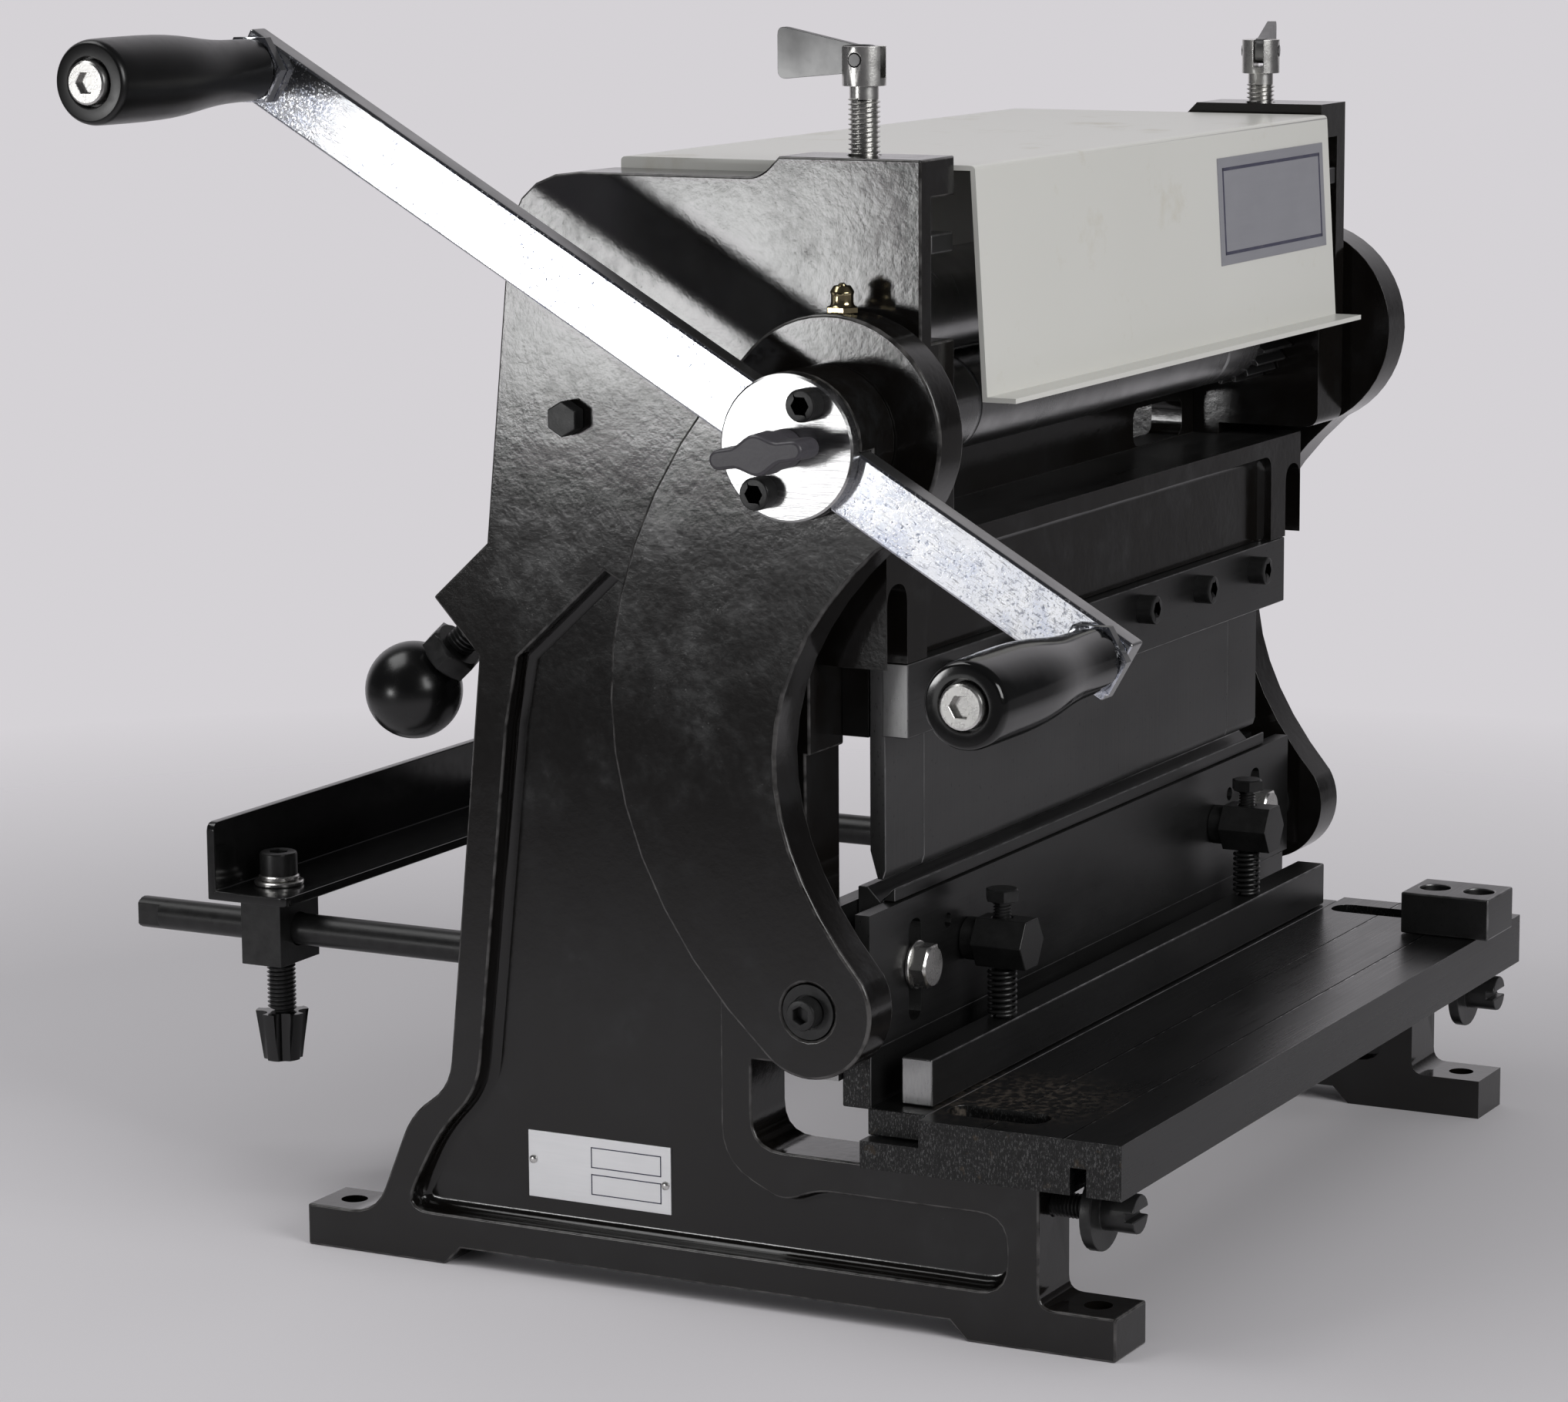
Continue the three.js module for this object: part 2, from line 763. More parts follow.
// Ram: the moving beam, its V die, its front plate and the upper blade
function ramBeam() {
  const rods = [-rodX, rodX].map((x) =>
    rodAlongY(rodDiameter + 2 * running, ramRearY - rodDepth, ramRearY + overrun, x, rodZ),
  );
  const pivots = [-1, 1].map((side) => {
    const ends = [side * (ramReach - 2 * rodDepth), side * (ramReach + overrun)];
    return rodAlongX(pivotScrew + 2 * seat, Math.min(...ends), Math.max(...ends), pinY, pinZ);
  });
  return cut(
    block(-ramReach, ramReach, ramFrontY, ramRearY, ramUnder, ramTop),
    block(
      -ramReach - overrun,
      ramReach + overrun,
      ramFrontY - overrun,
      bladeRearY + seat,
      ramUnder - overrun,
      plateUnder,
    ),
    block(
      -ramReach - overrun,
      ramReach + overrun,
      ramFrontY - overrun,
      dieRearY + seat,
      dieUnder - seat,
      ramTop + overrun,
    ),
    ...rods,
    ...pivots,
  );
}

add("ram_beam", ramBeam(), "darkSteel");

const dieSection = outline([
  [ramFrontY, dieUnder],
  [ramFrontY, ramTop + seat],
  [dieFrontY, ramTop + seat],
  [dieFrontY, dieTop],
  [tipY - veeWidth / 2, dieTop],
  [tipY, dieTop - veeDepth],
  [tipY + veeWidth / 2, dieTop],
  [dieRearY, dieTop],
  [dieRearY, dieUnder],
]);
add("vee_die", slab(dieSection, -workWidth / 2, workWidth / 2), "darkSteel");

function frontPlate() {
  const slotTopZ = ramTop - plateSlotDrop;
  const slotUnderZ = slotTopZ - plateSlotLength;
  const side = [-1, 1];
  const slots = side.map((sign) => {
    const x = sign * (ramReach - plateSlotInset);
    return panel(
      outline([
        [x - plateSlotWidth / 2, slotUnderZ, plateSlotWidth / 2],
        [x + plateSlotWidth / 2, slotUnderZ, plateSlotWidth / 2],
        [x + plateSlotWidth / 2, slotTopZ, plateSlotWidth / 2],
        [x - plateSlotWidth / 2, slotTopZ, plateSlotWidth / 2],
      ]),
      plateFrontY - overrun,
      plateRearY + overrun,
    );
  });
  const through = [plateFrontY - overrun, plateRearY + overrun];
  const holeZ = ramTop - plateHoleDrop;
  const holes = side.map((sign) =>
    rodAlongY(plateHole, ...through, sign * (ramReach - plateHoleInset), holeZ, smallSides),
  );
  const whole = block(-ramReach, ramReach, plateFrontY, plateRearY, plateUnder, ramTop);
  return cut(whole, ...slots, ...holes);
}

add("ram_front_plate", frontPlate(), "darkSteel");

const upperBladeTop = plateUnder - seat;
const upperBladeUnder = tableTop - bladeOverlap;
const upperBladeReach = ramReach - bladeInset;
const upperBlade = panel(
  outline([
    [-upperBladeReach, upperBladeUnder],
    [upperBladeReach, upperBladeUnder + upperBladeRake],
    [upperBladeReach, upperBladeTop],
    [-upperBladeReach, upperBladeTop],
  ]),
  bladeFrontY,
  bladeRearY,
);
add("upper_blade", upperBlade, "darkSteel");

// Table with its blade seat, the groove that the setting screws engage and its bolt slots
function table() {
  const section = outline([
    [tableFrontY, tableUnder],
    [tableFrontY, tableTop],
    [bladeSeatY, tableTop],
    [bladeSeatY, tableTop - bladeStep],
    [tableRearY, tableTop - bladeStep],
    [tableRearY, tableUnder],
    [grooveRearY, tableUnder],
    [grooveRearY, tableUnder + grooveDepth],
    [grooveRearY - grooveWidth, tableUnder + grooveDepth],
    [grooveRearY - grooveWidth, tableUnder],
  ]);
  const oblong = (x, width, length) =>
    outline([
      [x - width / 2, tableSlotY - length / 2, width / 2],
      [x + width / 2, tableSlotY - length / 2, width / 2],
      [x + width / 2, tableSlotY + length / 2, width / 2],
      [x - width / 2, tableSlotY + length / 2, width / 2],
    ]);
  const slots = [-midX, midX].flatMap((x) => {
    const wide = oblong(x, tableSlotWidth, tableSlotLength);
    const narrow = oblong(x, tableBolt, tableSlotLength - tableSlotWidth + tableBolt);
    return [
      plate(wide, tableTop - tableSlotDepth, tableTop + overrun),
      plate(narrow, tableUnder - overrun, tableTop),
    ];
  });
  return cut(slab(section, -tableReach, tableReach), ...slots);
}

add("table", table(), "darkSteel");

const lowerBladeReach = tableReach - lowerBladeInset;
const lowerBlade = block(
  -lowerBladeReach,
  lowerBladeReach,
  bladeSeatY + seat,
  lowerBladeRearY,
  tableTop - bladeStep + seat,
  tableTop,
);
add("lower_blade", lowerBlade, "darkSteel");

const stopUnder = tableTop + seat;
const stopLeftX = tableReach - stopInset - stopWidth;
const stopTop = stopUnder + stopHeight;
const stopHoleYs = [stopRearY - stopLength / 4, stopRearY - (3 * stopLength) / 4];
const stopHoles = stopHoleYs.flatMap((y) => {
  const x = stopLeftX + stopWidth / 2;
  return [
    rodAlongZ(stopHole, stopUnder - overrun, stopTop, x, y),
    rodAlongZ(stopCounterbore, stopTop - stopHeight / 2, stopTop + overrun, x, y),
  ];
});
const stopBlock = block(
  stopLeftX,
  stopLeftX + stopWidth,
  stopRearY - stopLength,
  stopRearY,
  stopUnder,
  stopUnder + stopHeight,
);
add("side_stop", cut(stopBlock, ...stopHoles), "darkSteel");

// Screws that set the table: a flange between thread and head turns in the table's groove
function settingScrew() {
  const flangeFrontFace = flangeMidY - setScrewFlangeThickness / 2;
  const flangeRearFace = flangeMidY + setScrewFlangeThickness / 2;
  const headFrontFace = flangeFrontFace - setScrewHeadLength;
  const tipY = uprightFrontY + setScrewDepth - seat;
  const driverSlot = block(
    -setScrewHead,
    setScrewHead,
    headFrontFace - overrun,
    headFrontFace + driverSlotDepth,
    -driverSlotWidth / 2,
    driverSlotWidth / 2,
  );
  return cut(
    join(
      rodAlongY(setScrewThread, flangeRearFace - overrun / 2, tipY, 0, 0),
      rodAlongY(setScrewFlange, flangeFrontFace, flangeRearFace, 0, 0, largeSides),
      rodAlongY(setScrewHead, headFrontFace, flangeFrontFace + overrun / 2, 0, 0),
    ),
    driverSlot,
  );
}

add("left_table_screw", settingScrew(), "blackOxide", machine, -midX, 0, setScrewZ);
add("right_table_screw", settingScrew(), "blackOxide", machine, midX, 0, setScrewZ);

// Hold-down: a bar on the table, two bolts standing in it, springs and blocks on the ram
const boltFoot = holdDownTop - holdDownHeight / 2;
const holdDownReach = workWidth / 2 + holdDownOverhang;
const holdBlockMidZ = ramUnder + holdBlockRise;
const holdBlockUnder = holdBlockMidZ - holdBlockAcross / 2;
const holdBoltHeadUnder = holdDownUnder + holdBoltLength - seat;
const holdSockets = [-holdDownX, holdDownX].map((x) =>
  rodAlongZ(holdBolt + 2 * seat, boltFoot, holdDownTop + overrun, x, holdDownY, smallSides),
);
const holdBar = block(
  -holdDownReach,
  holdDownReach,
  holdDownFrontY,
  holdDownFrontY + holdDownDepth,
  holdDownUnder,
  holdDownTop,
);
add("hold_down_bar", cut(holdBar, ...holdSockets), "darkSteel");

const holdDownBolt = join(
  rodAlongZ(holdBolt, boltFoot + seat, holdBoltHeadUnder + overrun / 2, 0, 0, smallSides),
  rodAlongZ(
    acrossCorners(holdBoltAcross),
    holdBoltHeadUnder,
    holdBoltHeadUnder + holdBoltHead,
    0,
    0,
    hexagon,
  ),
);
const holdDownBlock = cut(
  join(
    panel(
      outline(regular(hexagon, acrossCorners(holdBlockAcross) / 2)),
      holdBlockFrontY - holdDownY,
      holdBlockRearY - holdDownY,
    ).translate(0, 0, holdBlockMidZ),
    rodAlongY(
      holdStem,
      holdBlockRearY - holdDownY - overrun,
      plateFrontY - seat - holdDownY,
      0,
      holdBlockMidZ,
    ),
  ),
  rodAlongZ(
    holdBolt + 2 * running,
    holdBlockUnder - overrun,
    holdBlockMidZ + holdBlockAcross,
    0,
    0,
    smallSides,
  ),
);

// Corner points of a regular polygon, as an outline takes them
function regular(sides, radius) {
  const corners = [];
  for (let i = 0; i < sides; i += 1) {
    const angle = (2 * Math.PI * i) / sides;
    corners.push([radius * Math.cos(angle), radius * Math.sin(angle)]);
  }
  return corners;
}

// Open coil spring standing on the bar: a straight end, turns at an even pitch, a straight end
function coilSpring() {
  const from = holdDownTop + seat;
  const to = holdBlockUnder - seat;
  const radius = (springDiameter - springWire) / 2;
  const stepsPerTurn = 8;
  const wireSides = 5;
  const steps = springTurns * stepsPerTurn;
  const coilFrom = from + springWire;
  const coilTo = to - springWire;
  const points = [new THREE.Vector3(radius, 0, from)];
  for (let i = 0; i <= steps; i += 1) {
    const angle = (2 * Math.PI * i) / stepsPerTurn;
    const height = coilFrom + ((coilTo - coilFrom) * i) / steps;
    points.push(new THREE.Vector3(radius * Math.cos(angle), radius * Math.sin(angle), height));
  }
  points.push(new THREE.Vector3(radius, 0, to));
  let gap = Infinity;
  points.forEach((point, i) => {
    points.slice(i + stepsPerTurn / 2).forEach((other) => {
      gap = Math.min(gap, point.distanceTo(other) - springWire);
    });
  });
  console.log(`hold-down spring: least gap between turns ${gap.toFixed(2)} mm`);
  return new THREE.ExtrudeGeometry(outline(regular(wireSides, springWire / 2)), {
    steps: points.length,
    extrudePath: new THREE.CatmullRomCurve3(points),
  });
}

const springBody = solid(coilSpring());
for (const [side, x] of [["left", -holdDownX], ["right", holdDownX]]) {
  add(`${side}_hold_down_bolt`, holdDownBolt, "blackOxide", machine, x, holdDownY, 0);
  add(`${side}_hold_down_block`, holdDownBlock, "blackOxide", machine, x, holdDownY, 0);
  add(`${side}_hold_down_spring`, springBody, "blackOxide", machine, x, holdDownY, 0);
}

// Back gauge: two rods screwed into the ram, blocks clamped on them and an angle bar
const gaugeRod = cut(
  rodAlongY(rodDiameter, ramRearY - rodDepth + seat, rodRearY, 0, 0),
  block(
    rodFlat / 2,
    rodDiameter,
    rodRearY - rodFlatLength,
    rodRearY + overrun,
    -rodDiameter,
    rodDiameter,
  ),
  block(
    -rodDiameter,
    -rodFlat / 2,
    rodRearY - rodFlatLength,
    rodRearY + overrun,
    -rodDiameter,
    rodDiameter,
  ),
);
const gaugeBlock = cut(
  block(
    -gaugeBlockWidth / 2,
    gaugeBlockWidth / 2,
    -gaugeBlockLength / 2,
    gaugeBlockLength / 2,
    -gaugeBlockHeight / 2,
    gaugeBlockHeight / 2,
  ),
  rodAlongY(
    rodDiameter + 2 * running,
    -gaugeBlockLength / 2 - overrun,
    gaugeBlockLength / 2 + overrun,
    0,
    0,
  ),
  rodAlongZ(lockStud + 2 * running, -gaugeBlockHeight / 2 - overrun, 0, 0, 0, smallSides),
);

// Fluted cone knob under a stud that presses on the rod
function lockKnob() {
  const studTop = -rodDiameter / 2 - seat;
  const knobTop = -gaugeBlockHeight / 2 - lockStudLength;
  const cone = new THREE.CylinderGeometry(
    lockKnobDiameter / 2,
    lockKnobDiameter * lockKnobUnderShare,
    lockKnobHeight,
    rodSides,
  );
  cone.rotateX(Math.PI / 2);
  cone.translate(0, 0, knobTop - lockKnobHeight / 2);
  const flutes = [];
  for (let i = 0; i < lockKnobFlutes; i += 1) {
    const angle = (2 * Math.PI * i) / lockKnobFlutes;
    const reach = lockKnobDiameter * fluteReachShare;
    flutes.push(
      rodAlongZ(
        lockKnobDiameter * fluteWidthShare,
        knobTop - lockKnobHeight - overrun,
        knobTop + overrun,
        reach * Math.cos(angle),
        reach * Math.sin(angle),
        smallSides,
      ),
    );
  }
  const stud = rodAlongZ(lockStud, knobTop - overrun, studTop, 0, 0);
  return join(cut(solid(cone), ...flutes), stud);
}

const lockKnobBody = lockKnob();
for (const [side, x] of [["left", -rodX], ["right", rodX]]) {
  add(`${side}_gauge_rod`, gaugeRod, "blackOxide", machine, x, 0, rodZ);
  add(`${side}_gauge_block`, gaugeBlock, "blackOxide", machine, x, gaugeBlockY, rodZ);
  add(`${side}_lock_knob`, lockKnobBody, "gripPlastic", machine, x, gaugeBlockY, rodZ);
}
const gaugeRearY = gaugeBlockY + gaugeFlange / 2;
const gaugeUnder = gaugeBlockTop + seat;
const gaugeAngle = outline([
  [gaugeRearY - gaugeFlange, gaugeUnder],
  [gaugeRearY, gaugeUnder],
  [gaugeRearY, gaugeUnder + gaugeUpright],
  [gaugeRearY - gaugeSheet, gaugeUnder + gaugeUpright],
  [gaugeRearY - gaugeSheet, gaugeUnder + gaugeSheet],
  [gaugeRearY - gaugeFlange, gaugeUnder + gaugeSheet],
]);
add("gauge_bar", slab(gaugeAngle, -gaugeReach, gaugeReach), "blackOxide");

// Crank shaft: the lower roll with its journals, an eccentric at each end and a crank stub
function crankShaft() {
  const offsetY = eccentricY - rollPlaneY;
  const offsetZ = eccentricZ - lowerRollZ;
  const eccentric = (from, to, diameter) =>
    rodAlongX(diameter, from, to, offsetY, offsetZ, largeSides);
  const rollRadius = rollDiameter / 2;
  const neck = rollRadius - wireGrooveDepth;
  const leftGroove = leftGrooveInset - rollReach;
  const rightGroove = gearStart - rightGrooveInset;
  const journal = mainJournal / 2;
  const journalEnd = outerX + linkStandOff / 3;
  const barrel = turnedAlongX([
    [-journalEnd, 0],
    [-journalEnd, journal],
    [-rollReach, journal],
    [-rollReach, rollRadius],
    [leftGroove - wireGroove / 2, rollRadius],
    [leftGroove, neck],
    [leftGroove + wireGroove / 2, rollRadius],
    [rightGroove - wireGroove / 2, rollRadius],
    [rightGroove, neck],
    [rightGroove + wireGroove / 2, rollRadius],
    [gearStart, rollRadius],
    [gearStart, gearSeat / 2],
    [rollReach, gearSeat / 2],
    [rollReach, journal],
    [journalEnd, journal],
    [journalEnd, 0],
  ]);
  const eccentricStart = journalEnd - overrun / 2;
  return join(
    barrel,
    eccentric(-linkOuterX, -eccentricStart, eccentricDiameter),
    eccentric(eccentricStart, linkOuterX, eccentricDiameter),
    eccentric(-linkOuterX - stubLength, -linkOuterX + overrun, stubDiameter),
  );
}

add("crank_shaft", crankShaft(), "brightSteel", machine, 0, rollPlaneY, lowerRollZ);

const upperRoll = turnedAlongX([
  [-slotX + journalEndGap, 0],
  [-slotX + journalEndGap, upperJournal / 2],
  [-rollReach, upperJournal / 2],
  [-rollReach, rollDiameter / 2],
  [gearStart, rollDiameter / 2],
  [gearStart, gearSeat / 2],
  [rollReach, gearSeat / 2],
  [rollReach, upperJournal / 2],
  [slotX - journalEndGap, upperJournal / 2],
  [slotX - journalEndGap, 0],
]);
add("upper_roll", upperRoll, "brightSteel", machine, 0, rollPlaneY, upperRollZ);

const rearRoll = turnedAlongX([
  [-slotX + journalEndGap, 0],
  [-slotX + journalEndGap, rearJournal / 2],
  [-rollReach, rearJournal / 2],
  [-rollReach, rollDiameter / 2],
  [rollReach, rollDiameter / 2],
  [rollReach, rearJournal / 2],
  [slotX - journalEndGap, rearJournal / 2],
  [slotX - journalEndGap, 0],
]);
add("rear_roll", rearRoll, "brightSteel", machine, 0, rearRollY, rearRollZ);

// Spur gear about X with a bore; "turn" is a share of one tooth pitch
function spurGear(turn) {
  const pitchRadius = (gearModule * gearTeeth) / 2;
  const tipRadius = pitchRadius + gearModule * addendumShare;
  const rootRadius = pitchRadius - gearModule * dedendumShare;
  const toothRadii = [rootRadius, pitchRadius, tipRadius, tipRadius, pitchRadius, rootRadius];
  const pitchAngle = (2 * Math.PI) / gearTeeth;
  const corners = [];
  for (let i = 0; i < gearTeeth; i += 1) {
    const middle = (i + turn) * pitchAngle;
    toothShares.forEach((share, corner) => {
      const angle = middle + share * pitchAngle;
      const radius = toothRadii[corner];
      corners.push([radius * Math.cos(angle), radius * Math.sin(angle)]);
    });
  }
  return cut(
    slab(outline(corners), gearStart + seat, rollReach - seat),
    rodAlongX(gearSeat + 2 * seat, gearStart - overrun, rollReach + overrun, 0, 0),
  );
}

const lowerGear = spurGear(0);
const upperGear = spurGear(1 / 2);
add("lower_gear", lowerGear, "darkSteel", machine, 0, rollPlaneY, lowerRollZ);
add("upper_gear", upperGear, "darkSteel", machine, 0, rollPlaneY, upperRollZ);

// Bearing blocks of the upper roll, open to the front under their top flange
const upperBlockSection = outline([
  [-blockWidth / 2, -blockBelow],
  [blockWidth / 2, -blockBelow],
  [blockWidth / 2, blockAbove],
  [headFrontY + seat - rollPlaneY, blockAbove],
  [headFrontY + seat - rollPlaneY, blockAbove - blockFlange],
  [-blockWidth / 2, blockAbove - blockFlange],
]);
const upperBlock = cut(
  slab(upperBlockSection, -slotX + seat, -innerX - seat),
  rodAlongX(upperJournal + 2 * running, -slotX - overrun, -innerX + overrun, 0, 0),
);
add("left_upper_bearing", upperBlock, "brightSteel", machine, 0, rollPlaneY, upperRollZ);
const rightUpperBlock = mirrored(upperBlock);
add("right_upper_bearing", rightUpperBlock, "brightSteel", machine, 0, rollPlaneY, upperRollZ);

// Bearing blocks of the rear roll, square to the slide line
const rearBlockStrip = slideStrip(
  rearRollStation - rearBlockLength / 2,
  rearRollStation + rearBlockLength / 2,
  bossWidth - 2 * running,
);
const rearBlock = cut(
  slab(rearBlockStrip, -slotX + seat, -innerX - seat),
  rodAlongX(rearJournal + 2 * running, -slotX - overrun, -innerX + overrun, rearRollY, rearRollZ),
);
add("left_rear_bearing", rearBlock, "brightSteel");
add("right_rear_bearing", mirrored(rearBlock), "brightSteel");

// Screws with ball knobs that push the rear roll up its slide
function ballScrew() {
  const tip = rearRollStation - rearBlockLength / 2 - seat;
  const ball = new THREE.SphereGeometry(knobDiameter / 2, rodSides, smallSides);
  ball.translate(-screwX, ...onSlide(-knobStation));
  const nutFrom = -jamNutStation - jamNutHeight / 2;
  return join(
    rodOnSlide(screwDiameter, -knobStation, tip, -screwX),
    rodOnSlide(acrossCorners(jamNutAcross), nutFrom, nutFrom + jamNutHeight, -screwX, hexagon),
    solid(ball),
  );
}

const ballScrewBody = ballScrew();
add("left_rear_roll_screw", ballScrewBody, "gripPlastic");
add("right_rear_roll_screw", mirrored(ballScrewBody), "gripPlastic");

// Screws that press the upper roll down, each with a folding lever in a clevis head
function pressScrew(rise) {
  const clevisUnder = frameHeight + rise;
  const clevisTop = clevisUnder + clevisHeight;
  const pinHeight = clevisTop - clevisHeight / 3;
  return cut(
    join(
      rodAlongZ(screwDiameter, blockTop + seat, clevisUnder + overrun / 2, 0, 0),
      rodAlongZ(clevisDiameter, clevisUnder, clevisTop, 0, 0),
    ),
    block(
      -leverThickness / 2 - seat,
      leverThickness / 2 + seat,
      -clevisDiameter,
      clevisDiameter,
      clevisUnder + clevisHeight / 5,
      clevisTop + overrun,
    ),
    rodAlongX(leverPin + 2 * seat, -clevisDiameter, clevisDiameter, 0, pinHeight, smallSides),
  );
}

// Paddle with its pivot pin, drawn about the pin and pointing to the back
function thumbLever() {
  const paddle = outline([
    [-leverNarrow / 2, -leverNarrow / 2, leverNarrow / 2],
    [clevisDiameter / 2, -leverNarrow / 2],
    [leverLength, -leverBelow, leverNarrow / 3],
    [leverLength, leverAbove, leverNarrow / 3],
    [leverNarrow / 4, leverNarrow / 2],
    [-leverNarrow / 2, leverNarrow / 2, leverNarrow / 2],
  ]);
  return join(
    slab(paddle, -leverThickness / 2, leverThickness / 2),
    rodAlongX(leverPin, -clevisDiameter / 2, clevisDiameter / 2, 0, 0, smallSides),
  );
}

for (const [side, x, rise, turn] of [
  ["left", -screwX, leftScrewRise, 0],
  ["right", screwX, rightScrewRise, rightLeverTurn],
]) {
  const column = new THREE.Group();
  column.position.set(x, rollPlaneY, 0);
  column.rotation.z = THREE.MathUtils.degToRad(turn);
  machine.add(column);
  add(`${side}_press_screw`, pressScrew(rise), "zinc", column);
  const pinHeight = frameHeight + rise + (2 * clevisHeight) / 3;
  add(`${side}_thumb_lever`, thumbLever(), "brightSteel", column, 0, 0, pinHeight);
}

// Link between an eccentric and the end of the ram, bowed back to clear the work
function link() {
  const hub = new THREE.Vector2(eccentricY, eccentricZ);
  const lobe = new THREE.Vector2(pinY, pinZ);
  const span = hub.distanceTo(lobe);
  const around = (centre, radius, degrees) => {
    const angle = THREE.MathUtils.degToRad(degrees);
    return new THREE.Vector2(Math.cos(angle), Math.sin(angle)).multiplyScalar(radius).add(centre);
  };
  const square = 90;
  const whole = 360;
  const hubRear = 45;
  const lobeRear = -49;
  const lobeFront = 150;
  const lobeLean = 101;
  const hubFront = -115;
  const hubLean = 73;
  const rearHandle = span * linkRearShare;
  const frontHandle = span * linkFrontShare;
  const shape = new THREE.Shape();
  const start = around(hub, linkHubRadius, hubRear);
  shape.moveTo(start.x, start.y);
  const rearOut = around(start, rearHandle, hubRear - square);
  const rearEnd = around(lobe, linkLobeRadius, lobeRear);
  const rearIn = around(rearEnd, rearHandle, lobeRear + square);
  shape.bezierCurveTo(rearOut.x, rearOut.y, rearIn.x, rearIn.y, rearEnd.x, rearEnd.y);
  const arc = (centre, radius, from, to) => {
    const [first, last] = [from, to - whole].map(THREE.MathUtils.degToRad);
    shape.absarc(centre.x, centre.y, radius, first, last, true);
  };
  arc(lobe, linkLobeRadius, lobeRear, lobeFront);
  const frontStart = around(lobe, linkLobeRadius, lobeFront);
  const frontEnd = around(hub, linkHubRadius, hubFront);
  const frontOut = around(frontStart, frontHandle, lobeFront - lobeLean);
  const frontIn = around(frontEnd, frontHandle, hubFront + hubLean);
  shape.bezierCurveTo(frontOut.x, frontOut.y, frontIn.x, frontIn.y, frontEnd.x, frontEnd.y);
  arc(hub, linkHubRadius, hubFront, hubRear);
  const pivotBore = pivotDiameter + 2 * running;
  return cut(
    slab(shape, -linkOuterX, -linkInnerX, linkSteps),
    rodAlongX(
      eccentricDiameter + 2 * eccentricPlay,
      -linkOuterX - overrun,
      -linkInnerX + overrun,
      eccentricY,
      eccentricZ,
      largeSides,
    ),
    rodAlongX(pivotBore, -linkOuterX - overrun, -linkInnerX + overrun, pinY, pinZ),
  );
}

const linkBody = link();
add("left_link", linkBody, "enamel");
add("right_link", mirrored(linkBody), "enamel");

// Shoulder pivot in the link's lobe, screwed into the end of the ram
const pivotBody = join(
  rodAlongX(pivotDiameter, -linkOuterX, -ramReach - seat, 0, 0),
  rodAlongX(pivotScrew, -ramReach - overrun, -ramReach + 2 * rodDepth - seat, 0, 0),
);
const pivotRecess = rodAlongX(
  pivotDiameter * pivotRecessShare,
  -linkOuterX - overrun,
  -linkOuterX + pivotRecessDepth,
  0,
  0,
);
const pivot = cut(pivotBody, pivotRecess);
add("left_link_pivot", pivot, "darkSteel", machine, 0, pinY, pinZ);
add("right_link_pivot", mirrored(pivot), "darkSteel", machine, 0, pinY, pinZ);

const capStartX = linkOuterX + seat;
const endCap = rodAlongX(endCapDiameter, capStartX, capStartX + endCapThickness, 0, 0);
add("shaft_end_cap", endCap, "blackOxide", machine, 0, eccentricY, eccentricZ);

// Crank: a hub on the stub, a flat bar that slides through it, a clamp disc, a wing screw
// and two grips. The group is turned so that the bar lies along its own Y.
const crank = new THREE.Group();
crank.position.set(0, eccentricY, eccentricZ);
crank.rotation.x = THREE.MathUtils.degToRad(crankAngle);
machine.add(crank);

const hubStartX = linkOuterX + seat;
const barOuterX = hubEndX;
const barInnerX = hubEndX - crankBarThickness;
const hub = cut(
  rodAlongX(hubDiameter, -hubEndX, -hubStartX, 0, 0, largeSides),
  rodAlongX(
    stubDiameter + 2 * seat,
    -linkOuterX - stubLength - seat,
    -hubStartX + overrun,
    0,
    0,
    largeSides,
  ),
  block(
    -hubEndX - overrun,
    -barInnerX + seat,
    -hubDiameter,
    hubDiameter,
    -crankBarHeight / 2 - seat,
    crankBarHeight / 2 + seat,
  ),
);
add("crank_hub", hub, "enamel", crank);

const disc = cut(
  rodAlongX(discDiameter, -hubEndX - seat - discThickness, -hubEndX - seat, 0, 0, largeSides),
  rodAlongX(wingScrew + 2 * seat, -hubEndX - overrun - discThickness, -hubEndX + overrun, 0, 0),
);
add("clamp_disc", disc, "chrome", crank);

const wingStartX = hubEndX + 2 * seat + discThickness;
const wingOutline = outline([
  [-wingSpan / 2, -wingThickness / 2, wingThickness / 3],
  [-wingNeck * wingShoulderShare, -wingThickness / 2, wingNeck / 4],
  [-wingNeck * wingCrownShare, -wingThickness * wingBulgeShare, wingNeck / 4],
  [wingNeck * wingCrownShare, -wingThickness * wingBulgeShare, wingNeck / 4],
  [wingNeck * wingShoulderShare, -wingThickness / 2, wingNeck / 4],
  [wingSpan / 2, -wingThickness / 2, wingThickness / 3],
  [wingSpan / 2, wingThickness / 2, wingThickness / 3],
  [wingNeck * wingShoulderShare, wingThickness / 2, wingNeck / 4],
  [wingNeck * wingCrownShare, wingThickness * wingBulgeShare, wingNeck / 4],
  [-wingNeck * wingCrownShare, wingThickness * wingBulgeShare, wingNeck / 4],
  [-wingNeck * wingShoulderShare, wingThickness / 2, wingNeck / 4],
  [-wingSpan / 2, wingThickness / 2, wingThickness / 3],
]);
const wing = join(
  rodAlongX(wingScrew, -wingStartX - overrun, -hubEndX - seat, 0, 0),
  rodAlongX(wingNeck, -wingStartX - wingReach - overrun, -wingStartX, 0, 0),
  slab(wingOutline, -wingStartX - wingReach - wingHeight, -wingStartX - wingReach),
);
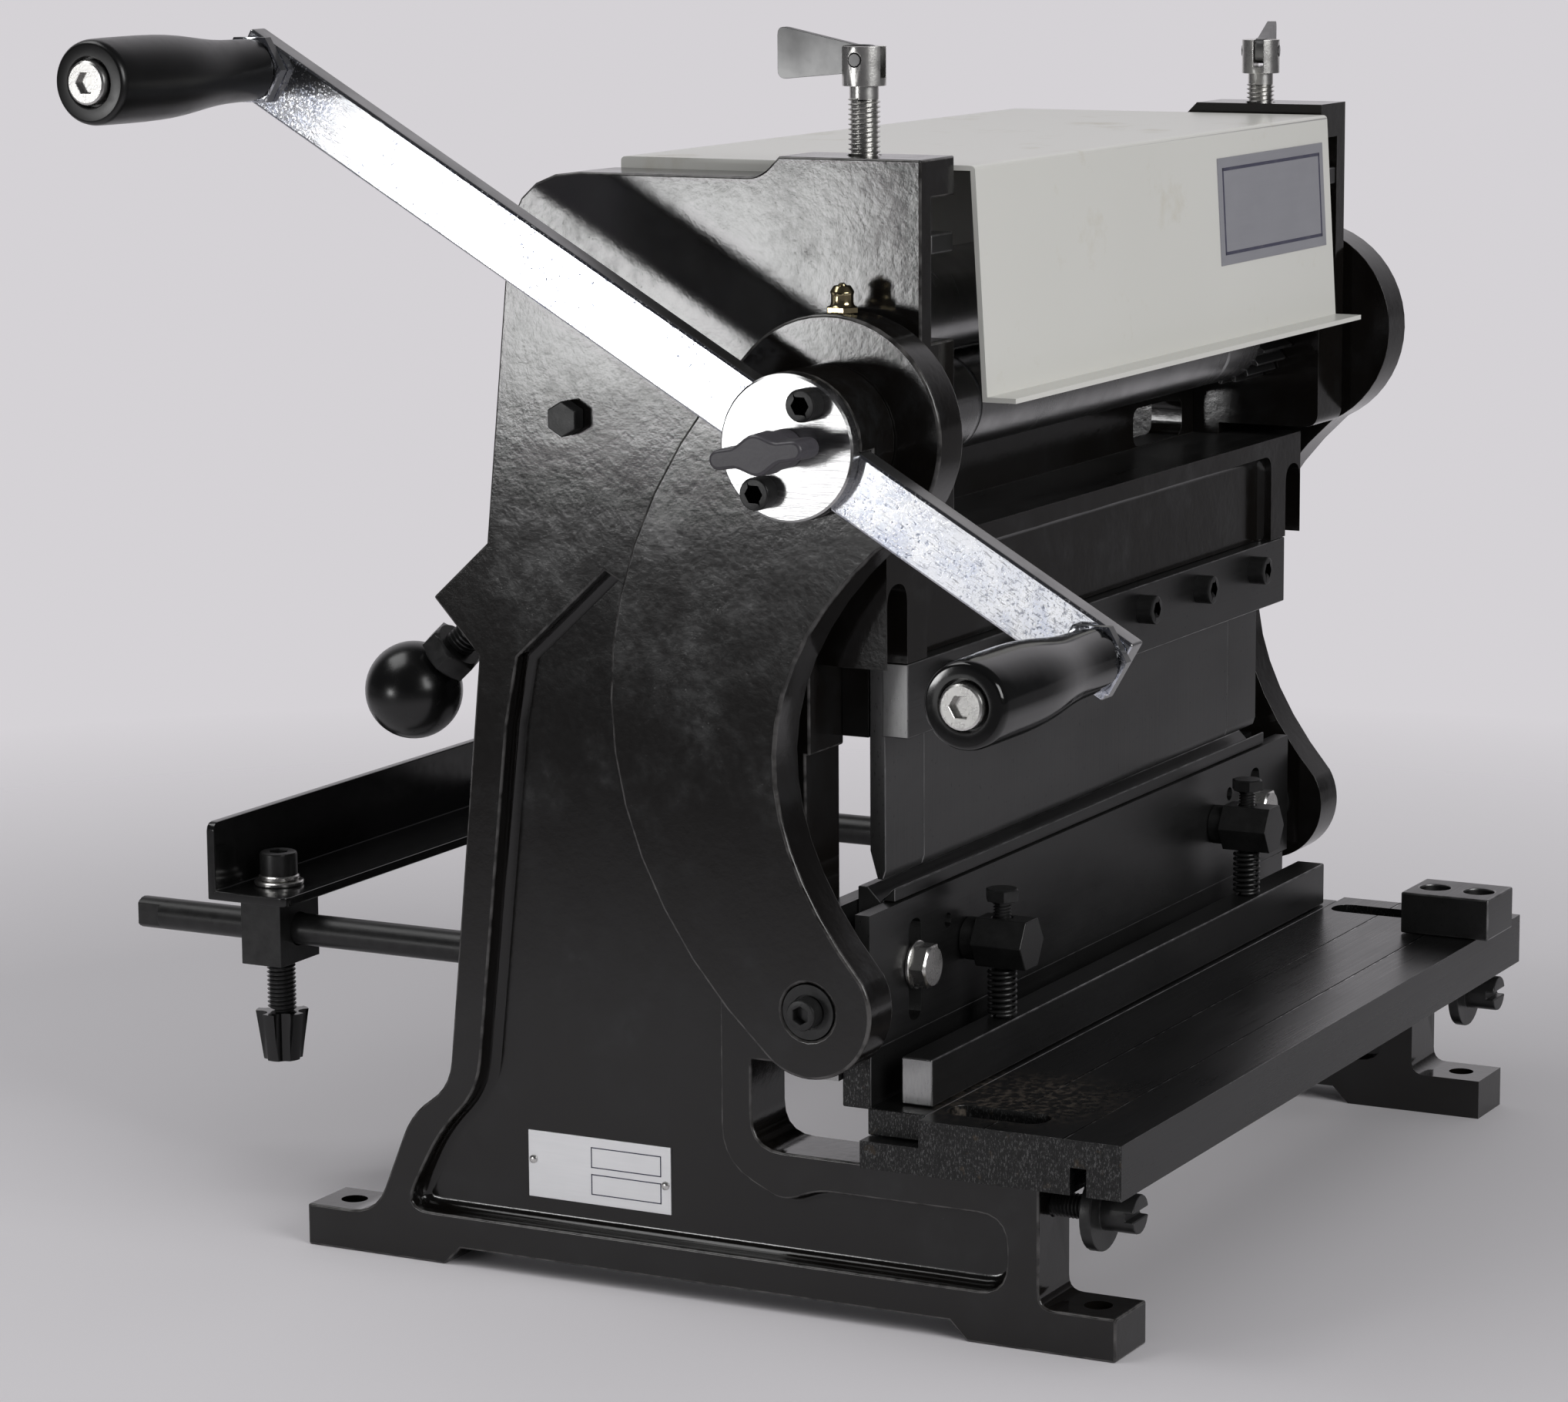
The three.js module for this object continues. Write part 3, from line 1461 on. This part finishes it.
const wingMesh = add("wing_screw", wing, "enamel", crank);
wingMesh.rotation.x = THREE.MathUtils.degToRad(-crankAngle);

// Bar with a stud for each grip; the studs' heads sit in the grips' outer ends
const gripYs = [longArm - gripInset, -shortArm + gripInset];
const studs = gripYs.flatMap((y) => [
  rodAlongX(gripStud, -gripStartX - gripLength, -barInnerX - overrun, y, 0),
  rodAlongX(
    studHead,
    -gripStartX - gripLength - studHeadHeight / 2,
    -gripStartX - gripLength + studHeadHeight / 2,
    y,
    0,
    rodSides,
  ),
]);
const barHalf = crankBarHeight / 2;
const crankBar = join(
  block(-barOuterX, -barInnerX, -shortArm, longArm, -barHalf, barHalf),
  ...studs,
);
add("crank_bar", crankBar, "chrome", crank);

// Barrel grip about its stud: outer end, belly and neck
const boreRadius = gripStud / 2 + running;
const recessRadius = studHead / 2 + running;
const recessDepth = studHeadHeight / 2 + seat;
const bellySteps = 8;
const gripBelly = new THREE.SplineCurve([
  new THREE.Vector2(-gripLength + recessDepth, gripEndRadius),
  new THREE.Vector2(-gripLength * gripBellyShare, gripBellyRadius),
  new THREE.Vector2(-gripLength * gripTaperShare, (gripBellyRadius + gripNeckRadius) / 2),
  new THREE.Vector2(0, gripNeckRadius),
]).getPoints(bellySteps);
const gripProfile = [
  [0, boreRadius],
  [-gripLength + recessDepth, boreRadius],
  [-gripLength + recessDepth, recessRadius],
  [-gripLength, recessRadius],
  [-gripLength, gripEndRadius - seat],
  ...gripBelly.map((point) => [point.x, point.y]),
  [0, boreRadius],
];

function gripGeometry() {
  const points = gripProfile.map(([x, radius]) => new THREE.Vector2(radius, x));
  const geometry = new THREE.LatheGeometry(points, rodSides);
  geometry.rotateZ(-Math.PI / 2);
  return solid(geometry);
}

add("rear_grip", gripGeometry(), "gripPlastic", crank, -gripStartX, gripYs[0], 0);
add("front_grip", gripGeometry(), "gripPlastic", crank, -gripStartX, gripYs[1], 0);

// Cover over the rolls: bent sheet with a leaning front skirt, rolled lip and side lips
function cover() {
  const inside = coverTop - coverSheet;
  const skirtUnder = lowerRollZ + skirtAboveRoll;
  const skirtEndY = coverFrontY - skirtLean;
  const section = outline([
    [coverFrontY, coverTop, coverSheet],
    [coverRearY, coverTop, coverSheet],
    [coverRearY, coverTop - rearLip],
    [coverRearY - coverSheet, coverTop - rearLip],
    [coverRearY - coverSheet, inside],
    [coverFrontY + coverSheet, inside],
    [skirtEndY + coverSheet, skirtUnder],
    [skirtEndY - skirtLip, skirtUnder],
    [skirtEndY - skirtLip, skirtUnder + coverSheet],
    [skirtEndY, skirtUnder + coverSheet],
  ]);
  const lips = [-1, 1].map((side) => {
    const faces = [side * coverReach, side * (coverReach - coverSheet)];
    return block(
      Math.min(...faces),
      Math.max(...faces),
      sideLipFrontY,
      coverRearY - coverSheet / 2,
      coverTop - sideLip,
      coverTop - coverSheet / 2,
    );
  });
  return join(slab(section, -coverReach, coverReach), ...lips);
}

add("cover", cover(), "offWhite");

const tieNut = (x0, x1) => rodAlongX(acrossCorners(tieNutAcross), x0, x1, 0, 0, hexagon);
const tieRod = join(
  rodAlongX(tieDiameter, -innerX + seat, innerX - seat, 0, 0),
  rodAlongX(tieStud, -outerX - seat - overrun, outerX + seat + overrun, 0, 0, smallSides),
  tieNut(-outerX - seat - tieNutHeight, -outerX - seat),
  tieNut(outerX + seat, outerX + seat + tieNutHeight),
);
add("rear_tie_rod", tieRod, "blackOxide", machine, 0, tieY, tieZ);

// The origin lies under the middle of the whole machine, on the surface that it stands on
machine.updateMatrixWorld(true);
const extent = new THREE.Box3().setFromObject(machine, true);
const middle = extent.getCenter(new THREE.Vector3());
machine.position.set(-middle.x, -middle.y, -extent.min.z);
const shift = machine.position.toArray().map((value) => value.toFixed(3));
console.log(`moved by ${shift.join(", ")} mm`);

export default machine;
